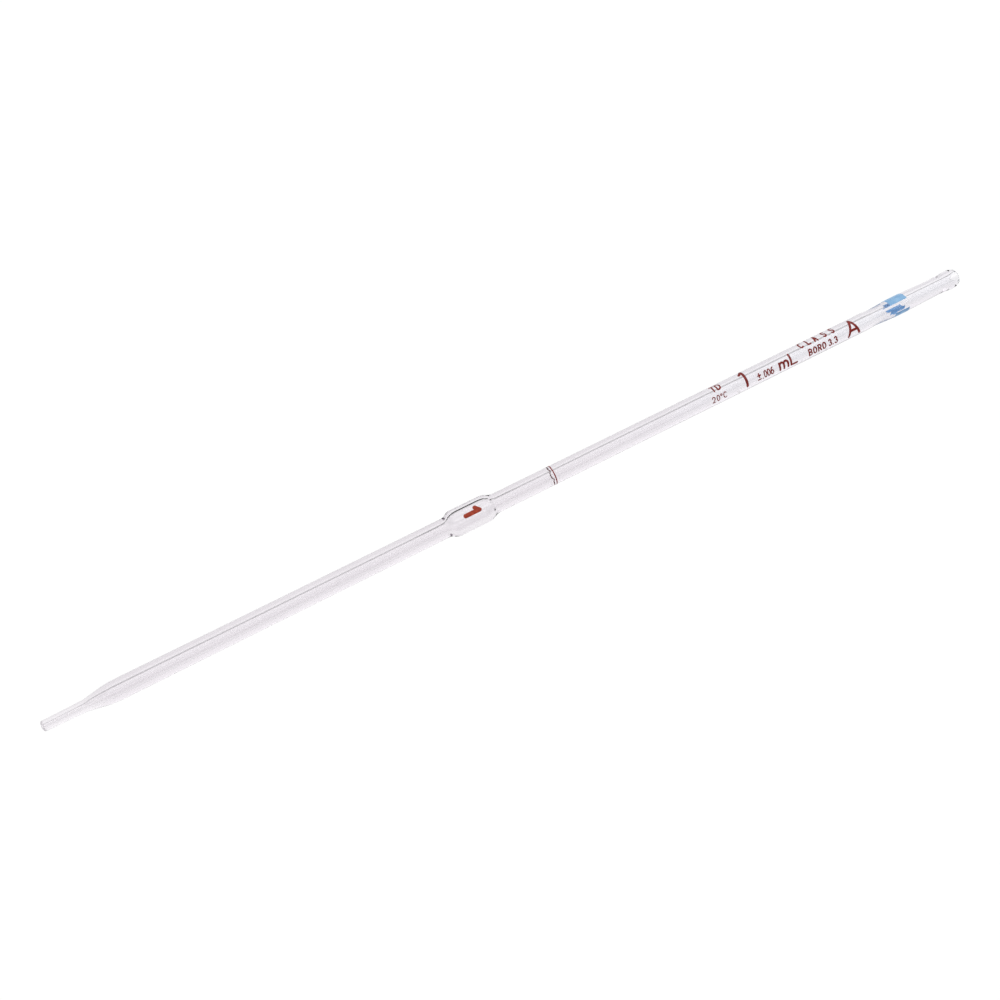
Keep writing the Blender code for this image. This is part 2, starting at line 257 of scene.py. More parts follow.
@dataclass(frozen=True)
class DrawnGlass:
    """Clear borosilicate tube glass, with faint draw lines along the tube and light handling haze.

    Grains are counts in a metre along X, Y and Z. The tint turns into the mouth's tint over a stretch of X.
    """

    name: str = "drawn_borosilicate"
    tint: tuple = (0.930, 0.918, 0.932, 1.0)
    mouth_tint: tuple = (0.955, 0.962, 0.975, 1.0)
    worn_tint: tuple = (0.915, 0.903, 0.917, 1.0)
    body_colour: tuple = (0.56, 0.46, 0.56, 1.0)
    body_density: float = 60.0
    ior: float = 1.473
    hazy: float = 0.03
    haze_range: tuple = (0.52, 0.80)
    haze_grain: tuple = (40.0, 120.0, 120.0)
    line_grain: tuple = (6.0, 900.0, 900.0)
    line_depth: float = 0.000004
    line_strength: float = 0.35
    tint_change: tuple = (0.00, 0.11)

    def material(self) -> bpy.types.Material:
        """Build the material.

        Returns:
            The glass.
        """
        made = bpy.data.materials.new(self.name)
        tree = Tree(made)
        lines = tree.noise(tree.place(self.line_grain), 1.0, 2.0)
        cloud = tree.noise(tree.place(self.haze_grain), 1.0, 4.0, 0.6)
        haze = cloud.ramp(*self.haze_range)
        clean = tree.blend(tree.lengthwise(*self.tint_change), self.tint, self.mouth_tint)
        tree.surface(
            {
                "Base Color": tree.blend(haze, clean, self.worn_tint),
                "Roughness": haze * self.hazy,
                "IOR": self.ior,
                "Transmission Weight": 1.0,
                "Normal": tree.bump(lines, self.line_depth, self.line_strength),
            },
            {"Color": self.body_colour, "Density": self.body_density},
        )
        return made


@dataclass(frozen=True)
class GroundEnd:
    """The jet's flat end, ground to a fine frosted white that is unevenly worn."""

    name: str = "ground_end"
    frosted: tuple = (0.95, 0.94, 0.95, 1.0)
    worn: tuple = (0.84, 0.83, 0.84, 1.0)
    grit: float = 6000.0
    grit_range: tuple = (0.35, 0.65)
    grit_depth: float = 0.00001
    grit_strength: float = 0.5
    roughness: float = 0.75

    def material(self) -> bpy.types.Material:
        """Build the material.

        Returns:
            The ground glass.
        """
        made = bpy.data.materials.new(self.name)
        tree = Tree(made)
        grit = tree.noise(tree.place(), self.grit, 4.0)
        tree.surface(
            {
                "Base Color": tree.blend(grit.ramp(*self.grit_range), self.worn, self.frosted),
                "Roughness": self.roughness,
                "Normal": tree.bump(grit, self.grit_depth, self.grit_strength),
            }
        )
        return made


@dataclass(frozen=True)
class FiredEnamel:
    """Vitreous enamel fired on the glass: its colour, thinner and paler in patches, and a pitted satin skin.

    The grain is a count in a metre, and the patches' and pits' own grains are multiples of it.
    """

    name: str
    deep: tuple
    thin: tuple
    satin: float = 0.50
    gloss: float = 0.38
    coat: float = 0.03
    coat_roughness: float = 0.12
    shine: float = 0.28
    grain: float = 2600.0
    patch_grain: float = 0.35
    patch_range: tuple = (0.42, 0.72)
    patch_share: float = 0.8
    pit_grain: float = 2.2
    pit_range: tuple = (0.55, 0.80)
    pit_share: float = 0.2
    pit_depth: float = 0.00002
    pit_strength: float = 0.4

    def material(self) -> bpy.types.Material:
        """Build the material.

        Returns:
            The enamel.
        """
        made = bpy.data.materials.new(self.name)
        tree = Tree(made)
        here = tree.place()
        patches = tree.noise(here, self.grain * self.patch_grain, 3.0)
        pits = tree.noise(here, self.grain * self.pit_grain, 4.0, 0.65)
        share = patches.ramp(*self.patch_range) * self.patch_share
        share = share + pits.ramp(*self.pit_range) * self.pit_share
        tree.surface(
            {
                "Base Color": tree.blend(share, self.deep, self.thin),
                "Roughness": self.satin + pits * (self.gloss - self.satin),
                "Specular IOR Level": self.shine,
                "Coat Weight": self.coat,
                "Coat Roughness": self.coat_roughness,
                "Normal": tree.bump(pits, self.pit_depth, self.pit_strength),
            }
        )
        return made


LETTER_ENAMEL = FiredEnamel("letter_enamel", (0.155, 0.007, 0.004, 1.0), (0.24, 0.018, 0.012, 1.0))
DIGIT_ENAMEL = FiredEnamel("digit_enamel", (0.25, 0.022, 0.004, 1.0), (0.36, 0.045, 0.012, 1.0))
BAND_ENAMEL = FiredEnamel(
    "band_enamel", (0.20, 0.39, 0.62, 1.0), (0.29, 0.48, 0.69, 1.0), 0.36, 0.26, 0.05, grain=1200.0
)
# Painted shade: a darker copy of the band enamel for the lower patch, whose outer side faces the board.
SHADED_BAND_ENAMEL = FiredEnamel(
    "band_painted_shade", (0.10, 0.23, 0.42, 1.0), (0.20, 0.38, 0.60, 1.0), 0.36, 0.26, 0.05, grain=1200.0
)
# Painted light: a brighter copy of the band enamel for the patches' fused sides, making up for the light
# that the glass wall takes on the way through.
BAND_FOOT_PAINTED_LIGHT = FiredEnamel(
    "band_foot_painted_light", (0.18, 0.40, 0.76, 1.0), (0.27, 0.52, 0.85, 1.0), 0.36, 0.26, 0.05, grain=1200.0
)


@dataclass(frozen=True)
class PaleBoard:
    """A matt, evenly lit white studio board with a faint paper grain."""

    name: str = "pale_board"
    white: tuple = (0.93, 0.93, 0.93, 1.0)
    grain: tuple = (0.915, 0.915, 0.915, 1.0)
    fibres: float = 900.0
    roughness: float = 0.9

    def material(self) -> bpy.types.Material:
        """Build the material.

        Returns:
            The board.
        """
        made = bpy.data.materials.new(self.name)
        tree = Tree(made)
        fibre = tree.noise(tree.place(), self.fibres, 3.0)
        tree.surface(
            {
                "Base Color": tree.blend(fibre, self.grain, self.white),
                "Roughness": self.roughness,
                "Specular IOR Level": 0.0,
            }
        )
        return made


@dataclass(frozen=True)
class PaintedShadowCard:
    """A matt black sheet with a faint paper grain: painted shadow that stands in for shade on the board
    beside the tube.
    """

    name: str = "painted_shadow_card"
    level: float = 0.02
    worn: float = 1.5
    fibres: float = 900.0
    roughness: float = 0.9

    def material(self) -> bpy.types.Material:
        """Build the material.

        Returns:
            The card.
        """
        made = bpy.data.materials.new(self.name)
        tree = Tree(made)
        fibre = tree.noise(tree.place(), self.fibres, 3.0)
        deep = (self.level,) * 3 + (1.0,)
        worn = (self.level * self.worn,) * 3 + (1.0,)
        tree.surface(
            {
                "Base Color": tree.blend(fibre, deep, worn),
                "Roughness": self.roughness,
                "Specular IOR Level": 0.0,
            }
        )
        return made


# ----------------------------------------------------------------------------------------------------
# Surfaces
# ----------------------------------------------------------------------------------------------------


class Surface:
    """Helpers that turn arrays into meshes."""

    @staticmethod
    def grid_faces(rows: int, columns: int, wrap_rows: bool, wrap_columns: bool) -> np.ndarray:
        """Return the four-sided faces of a grid of points.

        Args:
            rows: number of rows.
            columns: number of points in a row.
            wrap_rows: whether the last row joins the first.
            wrap_columns: whether each row closes on itself.

        Returns:
            An array of vertex numbers, four for each face.
        """
        i, j = np.meshgrid(
            np.arange(rows if wrap_rows else rows - 1),
            np.arange(columns if wrap_columns else columns - 1),
            indexing="ij",
        )
        i2 = (i + 1) % rows
        j2 = (j + 1) % columns
        corners = (i * columns + j, i2 * columns + j, i2 * columns + j2, i * columns + j2)
        return np.stack([c.ravel() for c in corners], axis=1)

    @staticmethod
    def piece(name: str, shells: list, crease: float = 35.0) -> bpy.types.Object:
        """Make one object from closed shells.

        Args:
            name: the piece's name.
            shells: (points, faces) arrays, each a closed shell.
            crease: the angle in degrees past which an edge is sharp.

        Returns:
            The object, with outward normals and poles welded.
        """
        points = np.concatenate([p for p, _ in shells])
        starts = np.cumsum([0] + [len(p) for p, _ in shells[:-1]])
        faces = np.concatenate([f + s for (_, f), s in zip(shells, starts)])
        mesh = bpy.data.meshes.new(name)
        mesh.from_pydata(points.tolist(), [], faces.tolist())
        work = bmesh.new()
        work.from_mesh(mesh)
        bmesh.ops.remove_doubles(work, verts=work.verts, dist=WELD)
        bmesh.ops.dissolve_degenerate(work, edges=work.edges, dist=SLIVER)
        bmesh.ops.recalc_face_normals(work, faces=work.faces)
        work.to_mesh(mesh)
        work.free()
        mesh.shade_smooth()
        mesh.set_sharp_from_angle(angle=math.radians(crease))
        made = bpy.data.objects.new(name, mesh)
        bpy.context.scene.collection.objects.link(made)
        return made


class Knots:
    """A smooth curve through (place, value) pairs that never overshoots them."""

    def __init__(self, pairs: tuple) -> None:
        """Work out the slope at each knot.

        The slope is the harmonic mean of the two neighbouring slopes where they agree in sign, and 0 where
        they don't, so the curve stays between its knots.

        Args:
            pairs: (place, value) pairs in millimetres, from the jet on.
        """
        self.at, self.value = np.array(pairs, float).T * MM
        rise = np.diff(self.value) / np.diff(self.at)
        product = rise[:-1] * rise[1:]
        total = rise[:-1] + rise[1:]
        inner = np.where(product > 0.0, 2.0 * product / np.where(total == 0.0, 1.0, total), 0.0)
        self.slope = np.concatenate([rise[:1], inner, rise[-1:]])

    def __call__(self, place: np.ndarray) -> np.ndarray:
        """Return the curve's value: a cubic on each span, from its ends' values and slopes.

        Args:
            place: distances from the jet, in metres.

        Returns:
            The values, in metres.
        """
        k = np.clip(np.searchsorted(self.at, place, side="right") - 1, 0, len(self.at) - 2)
        span = self.at[k + 1] - self.at[k]
        t = np.clip((place - self.at[k]) / span, 0.0, 1.0)
        first = self.value[k] * (1 + 2 * t) * (1 - t) ** 2 + self.slope[k] * span * t * (1 - t) ** 2
        second = self.value[k + 1] * t * t * (3 - 2 * t) + self.slope[k + 1] * span * t * t * (t - 1)
        return first + second


@dataclass(frozen=True)
class TubeLine:
    """The pipette's axis: where the jet ends, and how high the axis lies."""

    start: float
    height: float

    @classmethod
    def of_solids(cls) -> "TubeLine":
        """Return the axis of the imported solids."""
        low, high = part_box("delivery_tube")
        return cls(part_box("jet")[0].x, (low.z + high.z) / 2.0)

    def points(self, along: np.ndarray, radius: np.ndarray, angle: np.ndarray) -> np.ndarray:
        """Return points round the axis.

        In the model's frame x = start + along, y = -radius sin(angle) and z = height + radius cos(angle).

        Args:
            along: distances from the jet.
            radius: distances from the axis.
            angle: angles from +Z towards -Y, in radians.

        Returns:
            One row of x, y, z for each point.
        """
        x = self.start + along
        y = -radius * np.sin(angle)
        z = self.height + radius * np.cos(angle)
        return np.stack(np.broadcast_arrays(x, y, z), axis=-1).reshape(-1, 3)


@dataclass
class GlassBody:
    """The whole tube in one continuous skin: jet, delivery tube, bulb, suction tube, waist and beaded mouth.

    Its sizes are in millimetres. The outside is (distance from the jet, radius), the bore past the jet is
    (distance from the jet, radius divided by the stem's bore), and stations are (from, to, number of rings).
    """

    line: TubeLine
    stem_bore: float = 1.2177
    around: int = 96
    outer: tuple = (
        (0.00, 1.50),
        (0.05, 1.57),
        (0.16, 1.62),
        (5.5, 1.71),
        (12.0, 1.86),
        (13.5, 2.08),
        (16.5, 2.63),
        (18.5, 2.98),
        (20.5, 3.17),
        (23.0, 3.23),
        (55.0, 3.18),
        (126.3, 3.20),
        (127.1, 3.28),
        (127.8, 3.60),
        (128.5, 4.02),
        (129.3, 4.27),
        (130.3, 4.35),
        (132.0, 4.36),
        (138.5, 4.36),
        (140.0, 4.33),
        (141.0, 4.20),
        (142.0, 3.80),
        (142.8, 3.43),
        (143.7, 3.20),
        (144.8, 3.14),
        (285.0, 3.16),
        (287.5, 3.05),
        (289.7, 2.97),
        (292.0, 3.05),
        (294.5, 3.20),
        (297.0, 3.31),
        (304.0, 3.34),
        (310.0, 3.18),
        (317.5, 3.07),
        (319.6, 3.14),
        (321.0, 3.31),
        (322.2, 3.37),
        (323.4, 3.31),
        (324.3, 3.08),
        (324.8, 2.79),
        (325.0, 2.43),
    )
    jet_bore: tuple = ((0.0, 0.39), (12.0, 0.56))
    bore: tuple = (
        (14.4, 0.72),
        (17.6, 0.90),
        (23.0, 1.00),
        (124.6, 1.00),
        (126.4, 1.10),
        (127.7, 1.42),
        (128.9, 1.94),
        (130.0, 2.27),
        (131.5, 2.40),
        (139.0, 2.40),
        (140.4, 2.29),
        (141.7, 1.88),
        (142.9, 1.32),
        (144.8, 1.04),
        (285.0, 1.04),
        (289.7, 0.96),
        (294.5, 1.04),
        (317.5, 1.04),
        (321.8, 1.07),
        (323.9, 1.20),
        (324.7, 1.46),
        (325.0, 1.70),
    )
    stations: tuple = ((0.0, 0.3, 8), (0.3, 24.0, 60), (24.0, 126.0, 40), (126.0, 146.0, 130))
    upper_stations: tuple = (
        (146.0, 284.0, 50),
        (284.0, 312.0, 70),
        (312.0, 323.0, 50),
        (323.0, 325.0, 26),
    )
    crease: float = 50.0
    ground: float = 0.04
    replaced: tuple = ("jet", "delivery_tube", "bulb", "suction_tube", "mouthpiece")

    def __post_init__(self) -> None:
        """Prepare the outside and the bore as smooth curves."""
        scaled = tuple((s, k * self.stem_bore) for s, k in self.bore)
        self.outside = Knots(self.outer)
        self.inside = Knots(self.jet_bore + scaled)

    def places(self) -> np.ndarray:
        """Return the rings' distances from the jet, closer together where the wall curves."""
        spans = [np.linspace(a, b, n, endpoint=False) for a, b, n in self.stations + self.upper_stations]
        return np.concatenate(spans + [np.array([self.outer[-1][0]])]) * MM

    def build(self, glass: bpy.types.Material, ground: bpy.types.Material) -> bpy.types.Object:
        """Turn the wall's closed outline, out along the outside and back along the bore, about the axis.

        Args:
            glass: the material of the tube.
            ground: the material of the jet's flat end.

        Returns:
            The tube, which stands for the five glass solids.
        """
        places = self.places()
        along = np.concatenate([places, places[::-1]])
        radius = np.concatenate([self.outside(places), self.inside(places[::-1])])
        angle = np.linspace(0.0, 2.0 * math.pi, self.around, endpoint=False)
        points = self.line.points(along[:, None], radius[:, None], angle[None, :])
        faces = Surface.grid_faces(len(along), self.around, True, True)
        made = Surface.piece("glass_tube", [(points, faces)], self.crease)
        made.data.materials.append(glass)
        made.data.materials.append(ground)
        middles = np.array([face.center[:] for face in made.data.polygons])
        at_end = middles[:, 0] < self.line.start + self.ground * MM
        made.data.polygons.foreach_set("material_index", at_end.astype(np.int32))
        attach(made, "root")
        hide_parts(*self.replaced)
        return made


# ----------------------------------------------------------------------------------------------------
# Enamel marks
# ----------------------------------------------------------------------------------------------------


def arc(
    cx: float, cy: float, rx: float, ry: float, first: float, last: float, count: int = 28
) -> np.ndarray:
    """Return points of an elliptical arc: centre plus (rx cos a, ry sin a), a in equal steps.

    Args:
        cx: the centre's x.
        cy: the centre's y.
        rx: half width.
        ry: half height.
        first: first angle in degrees.
        last: last angle in degrees.
        count: number of points.

    Returns:
        One row of x, y for each point.
    """
    a = np.radians(np.linspace(first, last, count))
    return np.stack([cx + rx * np.cos(a), cy + ry * np.sin(a)], axis=1)


def path(*parts: "tuple | np.ndarray") -> np.ndarray:
    """Join points and arcs into one line.

    Args:
        parts: single points or arrays of points, in order.

    Returns:
        One row of x, y for each point.
    """
    return np.concatenate([np.atleast_2d(np.array(p, float)) for p in parts])


class Character(Enum):
    """The characters that are drawn on the tube, each as centre-lines one unit tall."""

    LETTER_T = "T"
    LETTER_D = "D"
    LETTER_C = "C"
    LETTER_L = "L"
    LETTER_A = "A"
    LETTER_S = "S"
    LETTER_B = "B"
    LETTER_O = "O"
    LETTER_R = "R"
    SMALL_M = "m"
    DIGIT_0 = "0"
    DIGIT_1 = "1"
    DIGIT_2 = "2"
    DIGIT_3 = "3"
    DIGIT_6 = "6"
    DEGREE = "degree"
    PLUS = "plus"
    BAR = "bar"
    POINT = "point"

    def strokes(self) -> list:
        """Return the character's centre-lines.

        Returns:
            Arrays of points; a line that ends where it starts is a closed loop.
        """
        return STROKES[self]


STROKES = {
    Character.LETTER_T: [path((0.0, 1.0), (0.62, 1.0)), path((0.31, 1.0), (0.31, 0.0))],
    Character.LETTER_D: [
        path((0.0, 0.0), (0.0, 1.0)),
        path((0.0, 1.0), (0.20, 1.0), arc(0.20, 0.5, 0.44, 0.5, 75, -75), (0.20, 0.0), (0.0, 0.0)),
    ],
    Character.LETTER_C: [arc(0.35, 0.5, 0.35, 0.5, 48, 312)],
    Character.LETTER_L: [path((0.0, 1.0), (0.0, 0.0)), path((0.0, 0.0), (0.58, 0.0))],
    Character.LETTER_A: [
        path((0.0, 0.0), (0.36, 1.0)),
        path((0.36, 1.0), (0.72, 0.0)),
        path((0.12, 0.33), (0.60, 0.33)),
    ],
    Character.LETTER_S: [
        path(arc(0.30, 0.74, 0.28, 0.26, 35, 270), arc(0.30, 0.24, 0.30, 0.24, 85, -150)),
    ],
    Character.LETTER_B: [
        path((0.0, 0.0), (0.0, 1.0)),
        path((0.05, 1.0), arc(0.28, 0.76, 0.26, 0.24, 80, -80), (0.05, 0.52)),
        path((0.03, 0.50), arc(0.30, 0.25, 0.30, 0.25, 80, -80), (0.03, 0.0)),
    ],
    Character.LETTER_O: [arc(0.36, 0.5, 0.36, 0.5, 0, 360, 48)],
    Character.LETTER_R: [
        path((0.0, 0.0), (0.0, 1.0)),
        path((0.0, 1.0), arc(0.30, 0.75, 0.28, 0.25, 80, -80), (0.0, 0.50)),
        path((0.30, 0.50), (0.60, 0.0)),
    ],
    Character.SMALL_M: [
        path((0.0, 0.0), (0.0, 0.72)),
        path(arc(0.26, 0.48, 0.26, 0.24, 180, 0), (0.52, 0.0)),
        path(arc(0.78, 0.48, 0.26, 0.24, 180, 0), (1.04, 0.0)),
    ],
    Character.DIGIT_0: [arc(0.28, 0.5, 0.28, 0.5, 0, 360, 48)],
    Character.DIGIT_1: [path((0.0, 0.78), (0.12, 0.86), (0.24, 1.0)), path((0.24, 1.0), (0.24, 0.0))],
    Character.DIGIT_2: [
        path(arc(0.28, 0.70, 0.28, 0.30, 165, -35), (0.0, 0.0)),
        path((0.0, 0.0), (0.60, 0.0)),
    ],
    Character.DIGIT_3: [arc(0.27, 0.76, 0.26, 0.24, 150, -80), arc(0.27, 0.265, 0.30, 0.265, 80, -150)],
    Character.DIGIT_6: [arc(0.29, 0.30, 0.29, 0.30, 0, 360, 48), arc(0.56, 0.30, 0.56, 0.70, 180, 98)],
    Character.DEGREE: [arc(0.16, 0.84, 0.16, 0.16, 0, 360, 36)],
    Character.PLUS: [path((0.0, 0.62), (0.56, 0.62)), path((0.28, 0.92), (0.28, 0.34))],
    Character.BAR: [path((0.0, 0.0), (0.56, 0.0))],
    Character.POINT: [path((0.0, 0.0), (0.02, 0.0))],
}


@dataclass(frozen=True)
class EnamelLine:
    """A raised line of enamel, in metres: how far its top stands proud and its foot is fused into the glass.

    Step is the distance between its sections. At an end, it is full height where its width is 1 / swell.
    """

    proud: float = 0.00004
    fused: float = 0.00002
    step: float = 0.00009
    caps: int = 7
    across: int = 7
    swell: float = 3.0

    def resampled(self, line: np.ndarray, closed: bool) -> np.ndarray:
        """Return points at equal steps along a line.

        Args:
            line: points of the line, in metres.
            closed: whether it ends where it starts.

        Returns:
            The new points; a closed line leaves out its last, repeated point.
        """
        gone = np.concatenate([[0.0], np.cumsum(np.hypot(*np.diff(line, axis=0).T))])
        count = max(4, int(round(gone[-1] / self.step)))
        at = np.linspace(0.0, gone[-1], count + 1)[: count if closed else None]
        return np.stack([np.interp(at, gone, line[:, k]) for k in (0, 1)], axis=1)

    def shell(self, line: np.ndarray, pen: float) -> tuple:
        """Carry a low cushion profile along a line on a flat sheet.

        At share v across the pen (-1 to 1) the top is at proud times the fourth root of 1 - v squared, and
        the foot is flat. An open end is a half circle: at angle a its reach is sin(a) and its width cos(a).

        Args:
            line: the centre-line on the sheet, in metres.
            pen: the pen's width.

        Returns:
            Points as (along, up, height) rows, and faces.
        """
        closed = bool(np.allclose(line[0], line[-1]))
        centre = self.resampled(line, closed)
        if closed:
            way = np.roll(centre, -1, axis=0) - np.roll(centre, 1, axis=0)
        else:
            way = np.gradient(centre, axis=0)
        way /= np.linalg.norm(way, axis=1, keepdims=True)
        width = np.ones(len(centre))
        if not closed:
            a = np.linspace(math.pi / 2.0, 0.0, self.caps, endpoint=False)
            reach = np.sin(a)[:, None] * pen / 2.0
            before = centre[0] - way[0] * reach
            after = centre[-1] + way[-1] * reach[::-1]
            centre = np.concatenate([before, centre, after])
            way = np.concatenate([np.repeat(way[:1], self.caps, 0), way, np.repeat(way[-1:], self.caps, 0)])
            width = np.concatenate([np.cos(a), width, np.cos(a)[::-1]])
        side = np.stack([-way[:, 1], way[:, 0]], axis=1)
        v = np.linspace(-1.0, 1.0, self.across)
        share = np.concatenate([v, v[-2:0:-1]])
        top = self.proud * (1.0 - v**2) ** 0.25
        rise = np.concatenate([top, np.full(self.across - 2, -self.fused)])
        out = share[None, :, None] * width[:, None, None] * pen / 2.0
        flat = centre[:, None, :] + side[:, None, :] * out
        ends = np.minimum(1.0, width * self.swell)[:, None]
        height = rise[None, :] * ends
        points = np.concatenate([flat, height[..., None]], axis=2)
        faces = Surface.grid_faces(len(centre), len(share), closed, True)
        return points.reshape(-1, 3), faces


@dataclass(frozen=True)
class Mark:
    """One enamel character: the solid it stands for, its character and how it lies on the tube.

    Its size, which is its height, and its pen are in millimetres, and breadth stretches it sideways. Its
    heel is the angle from the reading direction to the line that it stands on, in degrees.
    """

    node: str
    character: Character
    size: float
    breadth: float
    heel: float
    pen: float
    lengthwise: bool = False

    def build(
        self, line: TubeLine, glass: GlassBody, stroke: EnamelLine, finish: bpy.types.Material, slot: str
    ) -> bpy.types.Object:
        """Lay the strokes round the tube, where a height on the sheet becomes an angle of height / radius.

        Args:
            line: the tube's axis.
            glass: the tube that carries the mark.
            stroke: the enamel line that draws it.
            finish: the material.
            slot: the name of a material slot; not used.

        Returns:
            The piece that stands for the mark's solid.
        """
        pen = self.pen * MM
        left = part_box(self.node)[0].x - line.start + pen / 2.0
        radius = float(glass.outside(np.array([left]))[0])
        shells = []
        for stroke_line in self.character.strokes():
            sheet = stroke_line * np.array([self.size * self.breadth, self.size]) * MM
            if self.lengthwise:
                sheet = sheet[:, ::-1] * np.array([1.0, -1.0])
            points, faces = stroke.shell(sheet, pen)
            along = left + points[:, 0]
            angle = READ_ANGLE + math.radians(self.heel) - points[:, 1] / radius
            away = glass.outside(along) + points[:, 2]
            shells.append((line.points(along, away, angle), faces))
        made = Surface.piece(f"{self.node}_enamel", shells)
        made.data.materials.append(finish)
        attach(made, "root")
        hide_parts(self.node)
        return made


@dataclass
class Lettering:
    """Every character on the tube and on the bulb."""

    line: TubeLine
    glass: GlassBody
    stroke: EnamelLine = EnamelLine()
    marks: tuple = (
        Mark("letter_T", Character.LETTER_T, 2.28, 0.86, -20.0, 0.54),
        Mark("letter_D", Character.LETTER_D, 2.28, 0.89, -20.0, 0.54),
        Mark("temperature_2", Character.DIGIT_2, 1.90, 0.88, 44.0, 0.34),
        Mark("temperature_0", Character.DIGIT_0, 1.90, 0.88, 44.0, 0.34),
        Mark("degree_sign", Character.DEGREE, 1.90, 0.88, 44.0, 0.29),
        Mark("letter_C", Character.LETTER_C, 1.90, 0.93, 44.0, 0.34),
        Mark("volume_digit_1", Character.DIGIT_1, 6.15, 0.85, 43.0, 0.95),
        Mark("plus_sign", Character.PLUS, 2.28, 0.80, 39.0, 0.48),
        Mark("minus_bar", Character.BAR, 2.28, 0.80, 39.0, 0.48),
        Mark("decimal_point", Character.POINT, 2.28, 1.0, 42.0, 0.50),
        Mark("tolerance_0_first", Character.DIGIT_0, 2.28, 0.71, 42.0, 0.40),
        Mark("tolerance_0_second", Character.DIGIT_0, 2.28, 0.71, 42.0, 0.40),
        Mark("tolerance_digit_6", Character.DIGIT_6, 2.28, 0.71, 42.0, 0.42),
        Mark("unit_letter_m", Character.SMALL_M, 3.30, 0.95, 45.0, 0.74),
        Mark("unit_letter_L", Character.LETTER_L, 3.85, 1.02, 45.0, 0.74),
        Mark("class_letter_C", Character.LETTER_C, 2.45, 0.74, -24.0, 0.58),
        Mark("class_letter_L", Character.LETTER_L, 2.45, 0.70, -24.0, 0.62),
        Mark("class_letter_A", Character.LETTER_A, 2.45, 0.62, -24.0, 0.62),
        Mark("class_letter_S1", Character.LETTER_S, 2.45, 0.66, -24.0, 0.62),
        Mark("class_letter_S2", Character.LETTER_S, 2.45, 0.66, -24.0, 0.62),
        Mark("glass_letter_B", Character.LETTER_B, 2.09, 0.88, 44.0, 0.52),
        Mark("glass_letter_O1", Character.LETTER_O, 2.09, 0.76, 44.0, 0.52),
        Mark("glass_letter_R", Character.LETTER_R, 2.09, 0.88, 44.0, 0.52),
        Mark("glass_letter_O2", Character.LETTER_O, 2.09, 0.76, 44.0, 0.52),
        Mark("glass_digit_3_first", Character.DIGIT_3, 2.09, 0.74, 44.0, 0.50),
        Mark("glass_point", Character.POINT, 2.09, 1.0, 44.0, 0.52),
        Mark("glass_digit_3_second", Character.DIGIT_3, 2.09, 0.74, 44.0, 0.50),
        Mark("grade_letter_A", Character.LETTER_A, 5.62, 1.08, 51.0, 0.90),
    )
    bulb_digit: Mark = Mark("bulb_digit_1", Character.DIGIT_1, 4.70, 1.05, -22.0, 1.42, True)

    def build(self, letters: bpy.types.Material, digit: bpy.types.Material) -> list:
        """Build every mark.

        Args:
            letters: the enamel of the lettering.
            digit: the enamel of the digit on the bulb.

        Returns:
            The pieces.
        """
        made = [m.build(self.line, self.glass, self.stroke, letters, "letter_enamel") for m in self.marks]
        made.append(self.bulb_digit.build(self.line, self.glass, self.stroke, digit, "digit_enamel"))
        return made


@dataclass
class GraduationRing:
    """The full ring above the bulb, with its width and heights in millimetres."""

    line: TubeLine
    glass: GlassBody
    width: float = 0.39
    proud: float = 0.04
    fused: float = 0.02
    across: int = 9
    around: int = 120

    def build(self, enamel: bpy.types.Material) -> bpy.types.Object:
        """Turn a low cushion profile once about the axis.

        Args:
            enamel: the material.

        Returns:
            The ring, which stands for its solid.
        """
        low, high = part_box("graduation_ring")
        middle = (low.x + high.x) / 2.0 - self.line.start
        v = np.linspace(-1.0, 1.0, self.across)
        top = self.proud * MM * (1.0 - v**2) ** 0.25
        share = np.concatenate([v, v[-2:0:-1]])
        rise = np.concatenate([top, np.full(self.across - 2, -self.fused * MM)])
        along = middle + share * self.width * MM / 2.0
        radius = self.glass.outside(along) + rise
        angle = np.linspace(0.0, 2.0 * math.pi, self.around, endpoint=False)
        points = self.line.points(along[:, None], radius[:, None], angle[None, :])
        faces = Surface.grid_faces(len(along), self.around, True, True)
        made = Surface.piece("graduation_ring_enamel", [(points, faces)])
        made.data.materials.append(enamel)
        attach(made, "root")
        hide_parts("graduation_ring")
        return made


